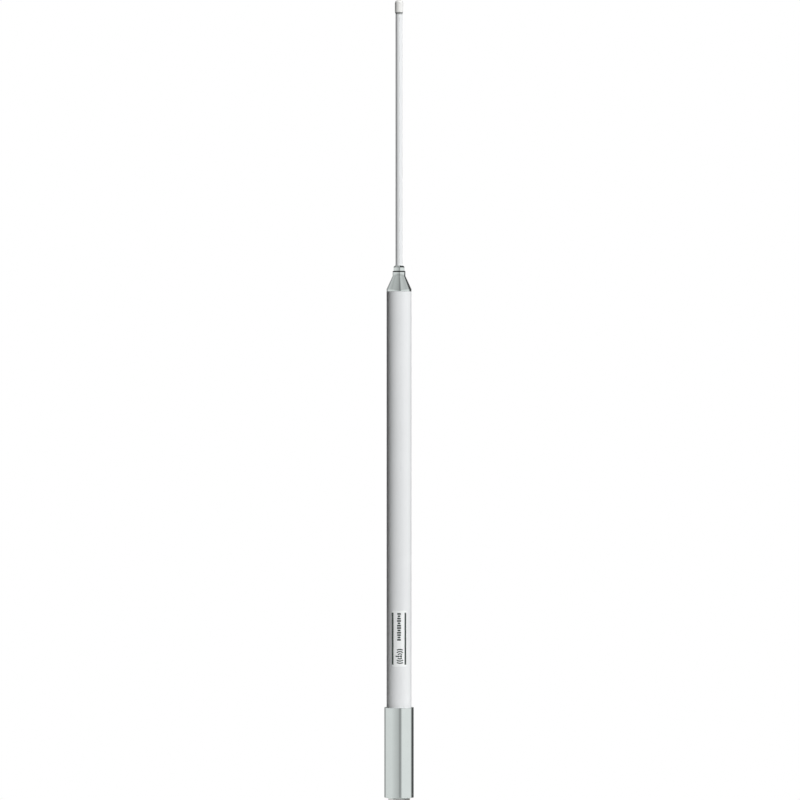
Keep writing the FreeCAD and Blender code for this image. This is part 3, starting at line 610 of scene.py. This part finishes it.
class ANTENNA_OT_top_ferrule(bpy.types.Operator):
    """Turned ferrule that steps the radome down to the whip, with its threaded bore"""
    bl_idname = "antenna.top_ferrule"
    bl_label = "Top ferrule"

    def execute(self, context):
        size = sizes()
        low, high = foot_of("top_ferrule"), top_of("top_ferrule")
        shoulder = low + size.ferrule_spigot
        rim = shoulder + size.ferrule_rim
        spigot = RADOME - size.radome_wall - size.spigot_gap
        neck_foot = high - size.ferrule_neck
        bore = size.stud / 2 + size.stud_gap
        floor = shoulder + size.ferrule_floor
        pin = size.former_pin / 2
        pin_top = low + size.former_pin_depth
        body = turn_on_axis("top_reducer", profile(
            (0, pin_top), (pin, pin_top), (pin, low), (spigot, low), (spigot, shoulder), (RADOME, shoulder),
            (RADOME, rim), (NECK, neck_foot), (NECK, high), (bore, high), (bore, floor),
            (0, floor)), THREAD_STEPS)
        round_edges(body, size.edge_round, 3)
        cut_thread(body, bore, -BORE_THREAD * size.stud_pitch, size.stud_pitch,
                   floor + size.stud_pitch, high + size.stud_pitch)
        hand_over(body, finish_of("ferrule_chrome"), "ferrule_chrome", "antenna_base", "top_ferrule")
        return {"FINISHED"}


class ANTENNA_OT_joint_washer(bpy.types.Operator):
    """Rubber washer that seals the whip's screw joint"""
    bl_idname = "antenna.joint_washer"
    bl_label = "Joint washer"

    def execute(self, context):
        size = sizes()
        low, high = foot_of("joint_washer"), top_of("joint_washer")
        bore = size.stud / 2 + size.edge_round
        washer = turn_on_axis("joint_seal_ring", tube_outline(bore, NECK, low, high), THREAD_STEPS)
        round_edges(washer, size.soft_round)
        hand_over(washer, finish_of("black_rubber"), "black_rubber", "joint_seal", "joint_washer")
        return {"FINISHED"}


class ANTENNA_OT_whip_ferrule(bpy.types.Operator):
    """Whip ferrule: collar with two spanner flats, and its threaded stud"""
    bl_idname = "antenna.whip_ferrule"
    bl_label = "Whip ferrule"

    def execute(self, context):
        size = sizes()
        low, high = foot_of("whip_ferrule"), top_of("whip_ferrule")
        stud = size.stud / 2
        shoulder = low + size.stud_length
        collar = shoulder + size.collar_height
        hole = WHIP + size.whip_gap
        seat = low + size.whip_seat
        body = turn_on_axis("whip_socket", profile(
            (size.wire / 2, low), (stud, low), (stud, shoulder), (NECK, shoulder), (NECK, collar),
            (hole + size.collar_lip, high), (hole, high), (hole, seat), (size.wire / 2, seat)), THREAD_STEPS)
        for side in (0, 180):
            cut_flat(body, size.collar_flats, side, shoulder - size.collar_height, shoulder + NECK, NECK)
        round_edges(body, size.edge_round * 0.7, 3)
        cut_thread(body, stud, SCREW_THREAD * size.stud_pitch, size.stud_pitch,
                   low - size.stud_pitch, shoulder - 1.5 * size.stud_pitch)
        hand_over(body, finish_of("ferrule_chrome"), "ferrule_chrome", "whip_section", "whip_ferrule")
        return {"FINISHED"}


class ANTENNA_OT_whip(bpy.types.Operator):
    """Thin glass-fibre whip"""
    bl_idname = "antenna.whip"
    bl_label = "Whip"

    def execute(self, context):
        size = sizes()
        low, high = foot_of("whip_tube"), top_of("whip_tube")
        bore = WHIP - size.whip_wall
        tube = turn_on_axis("whip_shaft", tube_outline(bore, WHIP, low, high), WHIP_STEPS)
        round_edges(tube, size.soft_round)
        hand_over(tube, finish_of("white_lacquer"), "white_lacquer", "whip_section", "whip_tube")
        return {"FINISHED"}


class ANTENNA_OT_tip_cap(bpy.types.Operator):
    """Moulded cap on the whip's tip, domed, with a narrow foot below its rim"""
    bl_idname = "antenna.tip_cap"
    bl_label = "Tip cap"

    def execute(self, context):
        size = sizes()
        low, high = foot_of("tip_cap"), top_of("tip_cap")
        outer = radius_of("tip_cap")
        hole = WHIP + size.whip_gap
        neck = size.cap_neck / 2
        rim = low + size.cap_neck_height
        dome = outer - size.cap_flat
        roof = low + size.cap_grip
        crown = arc(size.cap_flat, high - dome, dome, 0, 90, 16)
        cap = turn_on_axis("whip_tip_cap", profile(
            (0, roof), (hole, roof), (hole, low), (neck, low), (neck, rim), (outer, rim),
            *crown, (0, high)), WHIP_STEPS)
        # Painted shadow under the cap's rim: the cap's narrow foot and the whip just below the cap take a
        # dark grey in their colour, in place of the shade that the rim casts. The narrow foot itself is real.
        painted_shadow = context.scene.antenna_colours.painted_shadow
        paint_shadow(finish_of("tip_plastic"), rim + size.painted_shadow_edge, rim - size.painted_shadow_edge, painted_shadow)
        paint_shadow(finish_of("white_lacquer"), low - size.painted_shadow_reach, low - size.painted_shadow_full, painted_shadow)
        hand_over(cap, finish_of("tip_plastic"), "tip_plastic", "whip_section", "tip_cap")
        return {"FINISHED"}


class ANTENNA_OT_jack(bpy.types.Operator):
    """N-type jack: hex, 5/8-24 thread, rear thread and crimp spigot"""
    bl_idname = "antenna.jack"
    bl_label = "N-type jack"

    def execute(self, context):
        size = sizes()
        crest = mount_size("rf_port", "r_mm")
        thread_top = JACK_MOUTH + mount_size("rf_port", "length_mm")
        hex_foot = thread_top + size.relief_length
        hex_top = hex_foot + size.hex_height
        spigot_top = top_of("connector_shell")
        rear_top = spigot_top - size.crimp_length
        socket_top = JACK_MOUTH + size.socket_depth
        chamfer = size.jack_lead_in
        flat = size.hex_flats / 2
        corner = size.hex_flats / math.sqrt(3)
        shell = turn_on_axis("n_jack_shell", profile(
            (size.socket / 2, JACK_MOUTH), (crest - chamfer, JACK_MOUTH), (crest, JACK_MOUTH + chamfer),
            (crest, thread_top), (size.relief / 2, thread_top), (size.relief / 2, hex_foot),
            (flat, hex_foot), (corner, hex_foot + size.hex_chamfer),
            (corner, hex_top - size.hex_chamfer), (flat, hex_top),
            (size.rear_thread / 2, hex_top), (size.rear_thread / 2, rear_top),
            (size.crimp_spigot / 2, rear_top), (size.crimp_spigot / 2, spigot_top),
            (size.crimp_bore / 2, spigot_top), (size.crimp_bore / 2, socket_top),
            (size.socket / 2, socket_top)), THREAD_STEPS)
        for side in range(6):
            cut_flat(shell, size.hex_flats, 30 + 60 * side, hex_foot - size.relief_length / 2,
                     hex_top + size.relief_length / 2, corner)
        cut_thread(shell, crest, JACK_THREAD * size.jack_pitch, size.jack_pitch,
                   JACK_MOUTH - size.jack_pitch, thread_top + 0.4 * size.jack_pitch)
        cut_thread(shell, size.rear_thread / 2, SCREW_THREAD * size.rear_pitch, size.rear_pitch,
                   hex_top + 1.6 * size.rear_pitch, rear_top + size.rear_pitch)
        hand_over(shell, finish_of("nickel_brass"), "nickel_brass", "antenna_base", "connector_shell")
        return {"FINISHED"}


def wrap(piece):
    """Bend a flat upright mesh, drawn through the axis, round the front of the radome."""
    across = max(v.co.x for v in piece.data.vertices) - min(v.co.x for v in piece.data.vertices)
    apply_modifier(piece, "SIMPLE_DEFORM", deform_method="BEND", deform_axis="Z", angle=across / RADOME)
    bpy.ops.object.mode_set(mode="EDIT")
    bpy.ops.mesh.select_all(action="SELECT")
    bpy.ops.transform.translate(value=(0, -RADOME, 0))
    clean()


def add_block(centre, extent):
    """Add a block to the mesh in edit mode, cut across so that it can bend."""
    bpy.ops.mesh.select_all(action="DESELECT")
    bpy.ops.mesh.primitive_cube_add(size=1, location=centre, scale=extent)
    bpy.ops.mesh.subdivide(number_cuts=BLOCK_CUTS)


# The label's print, in millimetres. Dashes of four widths stand where a label has its small print.
DASHES = 12
DASH_WIDTHS = (3.6, 2.6, 4.0, 3.0)
# The sign is a mast with three waves on either side, lying on its side so that it reads up the
# tube. The mast and its head each have the place of their middle, their length and their width.
SIGN_BLOCKS = ((-1.4, 4.2, 1.3), (2.0, 1.9, 1.9))
# The waves' middle along the mast, their radii, and how far each reaches along it to either side.
# The sine of half a wave's angle stays under WAVE_MOST, so that the smallest wave stays open.
WAVE_MIDDLE = 0.9
WAVE_RADII = (2.6, 4.8, 7.0)
WAVE_REACH = 3.1
WAVE_MOST = 0.78
# Cuts across a block that bends round the radome.
BLOCK_CUTS = 3


class ANTENNA_OT_label(bpy.types.Operator):
    """Printed film label: two upright bars, a row of dashes and a radiating-mast sign"""
    bl_idname = "antenna.label"
    bl_label = "Label"

    def add_film(self, size, low, high, half_angle):
        """White film with rounded corners."""
        piece = start_mesh("label_film")
        bpy.ops.mesh.primitive_grid_add(
            x_subdivisions=48, y_subdivisions=1, size=1, rotation=(math.pi / 2, 0, 0),
            location=(0, 0, (low + high) / 2))
        bpy.ops.transform.resize(value=(2 * half_angle * RADOME, 1, high - low))
        bpy.ops.object.mode_set(mode="OBJECT")
        wrap(piece)
        apply_modifier(piece, "SOLIDIFY", thickness=size.film_thickness, offset=1.0)
        bpy.ops.object.select_all(action="DESELECT")
        bpy.ops.mesh.primitive_cube_add(size=1, location=(0, -RADOME, (low + high) / 2))
        frame_block = bpy.context.object
        bpy.ops.transform.resize(value=(2 * RADOME * math.sin(half_angle), RADOME, high - low))
        bpy.ops.object.transform_apply(location=True, rotation=True, scale=True)
        bpy.ops.object.mode_set(mode="EDIT")
        bpy.ops.mesh.select_all(action="DESELECT")
        bpy.ops.object.mode_set(mode="OBJECT")
        for edge in frame_block.data.edges:
            ends = [frame_block.data.vertices[v].co for v in edge.vertices]
            edge.select = abs(ends[0].y - ends[1].y) > RADOME / 2
        bpy.ops.object.mode_set(mode="EDIT")
        bpy.ops.mesh.bevel(offset=size.label_corner, segments=8, affect="EDGES")
        bpy.ops.object.mode_set(mode="OBJECT")
        combine(piece, frame_block, "INTERSECT")
        hand_over(piece, finish_of("label_film"), "label_film", "antenna_base", "radome_label")

    def add_print(self, size, low, high):
        """Slate print that stands a hair above the film."""
        piece = start_mesh("label_print")
        front = -(size.film_thickness + size.ink_height / 2)
        depth = size.ink_height * 2
        middle = (low + high) / 2
        bar = high - low - 2 * size.bar_margin
        for side in (-1, 1):
            add_block((side * size.bar_spread, front, middle), (size.bar_width, depth, bar))
        for k in range(DASHES):
            height = high - size.dash_inset - k * (size.dash_height + size.dash_gap)
            width = DASH_WIDTHS[(k * k + k // 3) % len(DASH_WIDTHS)] * MM
            add_block((0, front, height), (width, depth, size.dash_height))
        sign = low + size.sign_height
        for place, long, wide in SIGN_BLOCKS:
            add_block((place * MM, front, sign), (long * MM, depth, wide * MM))
        bpy.ops.object.mode_set(mode="OBJECT")
        parts = [piece]
        for side in (-1, 1):
            for radius in WAVE_RADII:
                half = math.asin(min(WAVE_MOST, WAVE_REACH / radius))
                inner = radius * MM - size.wave_stroke / 2
                outer = radius * MM + size.wave_stroke / 2
                lean = Vector((math.sin(half), 0, side * math.cos(half)))
                back = Vector((0, front + depth / 2, 0))
                fore = Vector((0, front - depth / 2, 0))
                wave = draw("wave", [lean * inner + back, lean * outer + back, lean * outer + fore,
                                     lean * inner + fore])
                bpy.ops.mesh.edge_face_add()
                bpy.ops.mesh.spin(steps=16, angle=side * 2 * half, center=(0, 0, 0), axis=(0, 1, 0))
                bpy.ops.mesh.select_all(action="SELECT")
                bpy.ops.transform.translate(value=(WAVE_MIDDLE * MM, 0, sign))
                clean()
                parts.append(wave)
        bpy.ops.object.select_all(action="DESELECT")
        for part in parts:
            part.select_set(True)
        bpy.context.view_layer.objects.active = piece
        bpy.ops.object.join()
        wrap(piece)
        hand_over(piece, finish_of("label_ink"), "label_film", "antenna_base")

    def execute(self, context):
        size = sizes()
        low, high = foot_of("radome_label"), top_of("radome_label")
        half_angle = math.asin(radius_of("radome_label") / (RADOME + size.film_thickness))
        self.add_film(size, low, high, half_angle)
        self.add_print(size, low, high)
        return {"FINISHED"}


# ---- Stage ----

# How bright the studio is in a mirror, by the angle round the antenna from the front, in
# degrees towards +X: a white card on the left that fades towards the front, the gap that the
# camera looks through, a brighter card on the right, a dark corner behind it, and the back wall.
CARDS_ROUND = [
    (-180, 0.35), (-140, 0.40), (-120, 0.95), (-60, 0.95), (-5, 0.65), (5, 0.40), (12, 0.40), (25, 1.05),
    (105, 1.05), (120, 0.10), (150, 0.10), (180, 0.35),
]
# How much of that is left above and below, by the sine of the angle up from level: the cards
# end a little above and below the antenna, over a dark floor and under a paler ceiling.
CARDS_UP = [(-1.0, 0.15), (-0.5, 0.35), (-0.2, 1.0), (0.25, 1.0), (0.55, 0.62), (0.8, 0.9), (1.0, 0.6)]
# What the studio's walls add to the light on dull surfaces.
AMBIENT = 0.03
# Area lights: name, degrees round from the front towards +X, then height above the middle,
# distance, width and height in metres, and watts.
LAMPS = [
    ("key_softbox", 28, 1.3, 3.6, 0.6, 1.6, 146),
    ("side_softbox", 105, 0.6, 3.4, 0.8, 1.6, 30),
    ("back_fill", 182, 1.2, 3.6, 0.8, 1.6, 135),
    ("top_softbox", 0, 2.6, 0.0, 1.6, 1.6, 20),
]


def make_world():
    """White to the camera, a dim room to dull surfaces, and the studio's cards to mirrors."""
    world = bpy.data.worlds.new("studio")
    bpy.context.scene.world = world
    world.use_nodes = True
    tree = world.node_tree
    tree.nodes.clear()
    way = add_node(tree, "ShaderNodeTexCoord").outputs["Generated"]
    parts = add_node(tree, "ShaderNodeSeparateXYZ", {"Vector": way})
    ahead = add_node(tree, "ShaderNodeMath", {0: parts.outputs["Y"], 1: -1.0}, operation="MULTIPLY")
    angle = add_node(tree, "ShaderNodeMath", {0: parts.outputs["X"], 1: ahead.outputs[0]},
                     operation="ARCTAN2")
    share = add_node(tree, "ShaderNodeMapRange", {
        "Value": angle.outputs[0], "From Min": -math.pi, "From Max": math.pi})
    rise = add_node(tree, "ShaderNodeMapRange", {
        "Value": parts.outputs["Z"], "From Min": -1.0, "From Max": 1.0})
    cards = []
    for share_of_ramp, stops in ((share, CARDS_ROUND), (rise, CARDS_UP)):
        ramp = add_node(tree, "ShaderNodeValToRGB", {"Fac": share_of_ramp.outputs["Result"]})
        while len(ramp.color_ramp.elements) < len(stops):
            ramp.color_ramp.elements.new(0.5)
        first, last = stops[0][0], stops[-1][0]
        for stop, (place, _) in zip(ramp.color_ramp.elements, stops):
            stop.position = (place - first) / (last - first)
        for stop, (_, level) in zip(ramp.color_ramp.elements, stops):
            stop.color = (level, level, level, 1)
        cards.append(ramp.outputs["Color"])
    both = add_node(tree, "ShaderNodeMix", {"Factor": 1.0}, data_type="RGBA", blend_type="MULTIPLY")
    tree.links.new(cards[0], both.inputs["A"])
    tree.links.new(cards[1], both.inputs["B"])
    room = add_node(tree, "ShaderNodeBackground", {"Color": (1, 1, 1, 1), "Strength": AMBIENT})
    studio = add_node(tree, "ShaderNodeBackground", {"Color": both.outputs["Result"], "Strength": 1.0})
    white = add_node(tree, "ShaderNodeBackground", {"Color": (1, 1, 1, 1), "Strength": 1.0})
    ray = add_node(tree, "ShaderNodeLightPath")
    seen = add_node(tree, "ShaderNodeMixShader", {
        0: ray.outputs["Is Glossy Ray"], 1: room.outputs[0], 2: studio.outputs[0]})
    final = add_node(tree, "ShaderNodeMixShader", {
        0: ray.outputs["Is Camera Ray"], 1: seen.outputs[0], 2: white.outputs[0]})
    add_node(tree, "ShaderNodeOutputWorld", {"Surface": final.outputs[0]})


class ANTENNA_OT_stage(bpy.types.Operator):
    """Pale floor disc, soft studio light, white surroundings and the camera"""
    bl_idname = "antenna.stage"
    bl_label = "Stage"

    def execute(self, context):
        size = sizes()
        low, high = (Vector(corner) for corner in CAD_BOX)
        middle = (low.z + high.z) / 2
        floor = turn_on_axis("stage_floor", profile(
            (0, low.z - size.floor_thickness), (size.floor_radius, low.z - size.floor_thickness),
            (size.floor_radius, low.z), (0, low.z)), 128)
        round_edges(floor, size.floor_thickness / 3, 4)
        paper = context.scene.antenna_colours.paper
        card, tree, surface, place = start_material("Pale paper", paper, 0.0)
        tooth = add_node(tree, "ShaderNodeTexNoise", {
            "Vector": place, "Scale": 1 / (1.2 * MM), "Detail": 3.0}).outputs["Fac"]
        dress(tree, surface, paper, (tooth, 0.85, 0.95), (tooth, 0.03), (tooth, 0.03 * MM))
        bpy.ops.object.shade_smooth_by_angle(angle=math.radians(30))
        floor.data.materials.append(card)

        for name, degrees, rise, distance, width, tall, watts in LAMPS:
            turn = math.radians(degrees)
            place = Vector((math.sin(turn) * distance, -math.cos(turn) * distance, middle + rise))
            bpy.ops.object.light_add(type="AREA", location=place)
            lamp = context.object
            lamp.name = name
            lamp.data.shape = "RECTANGLE"
            lamp.data.size = width
            lamp.data.size_y = tall
            lamp.data.energy = watts
            lamp.rotation_euler = (Vector((0, 0, middle)) - place).to_track_quat("-Z", "Y").to_euler()
            lamp.visible_camera = False
            lamp.visible_glossy = False
        make_world()

        bottom = -size.foot_margin
        tall = high.z - bottom
        bpy.ops.object.camera_add(
            location=(size.axis_offset, -size.view_distance, (high.z + bottom) / 2),
            rotation=(math.pi / 2, 0, 0))
        camera = context.object
        camera.name = "view"
        camera.data.sensor_width = 36
        camera.data.lens = camera.data.sensor_width * size.view_distance / tall
        camera.data.clip_start = 0.05
        camera.data.clip_end = 50
        context.scene.camera = camera
        context.scene.view_settings.view_transform = "Standard"
        context.scene.view_settings.look = "None"
        return {"FINISHED"}


OPERATORS = (
    ANTENNA_OT_finishes,
    ANTENNA_OT_radome,
    ANTENNA_OT_mounting_tube,
    ANTENNA_OT_label,
    ANTENNA_OT_jack,
    ANTENNA_OT_top_ferrule,
    ANTENNA_OT_joint_washer,
    ANTENNA_OT_whip_ferrule,
    ANTENNA_OT_whip,
    ANTENNA_OT_tip_cap,
    ANTENNA_OT_stage,
)


class ANTENNA_PT_pieces(bpy.types.Panel):
    """Lists the antenna's pieces, and the sizes and colours that they use"""
    bl_label = "Antenna"
    bl_idname = "ANTENNA_PT_pieces"
    bl_space_type = "VIEW_3D"
    bl_region_type = "UI"
    bl_category = "Antenna"

    def draw(self, context):
        for operator in OPERATORS:
            self.layout.operator(operator.bl_idname)
        for group in (context.scene.antenna_sizes, context.scene.antenna_colours):
            column = self.layout.column()
            for name in group.bl_rna.properties.keys():
                if name not in {"rna_type", "name"}:
                    column.prop(group, name)


CLASSES = (AntennaSizes, AntennaColours, *OPERATORS, ANTENNA_PT_pieces)


def register():
    for cls in CLASSES:
        bpy.utils.register_class(cls)
    bpy.types.Scene.antenna_sizes = bpy.props.PointerProperty(type=AntennaSizes)
    bpy.types.Scene.antenna_colours = bpy.props.PointerProperty(type=AntennaColours)


def unregister():
    del bpy.types.Scene.antenna_colours
    del bpy.types.Scene.antenna_sizes
    for cls in reversed(CLASSES):
        bpy.utils.unregister_class(cls)


def main():
    register()
    for operator in OPERATORS:
        group, name = operator.bl_idname.split(".")
        getattr(getattr(bpy.ops, group), name)()


if __name__ == "__main__":
    main()
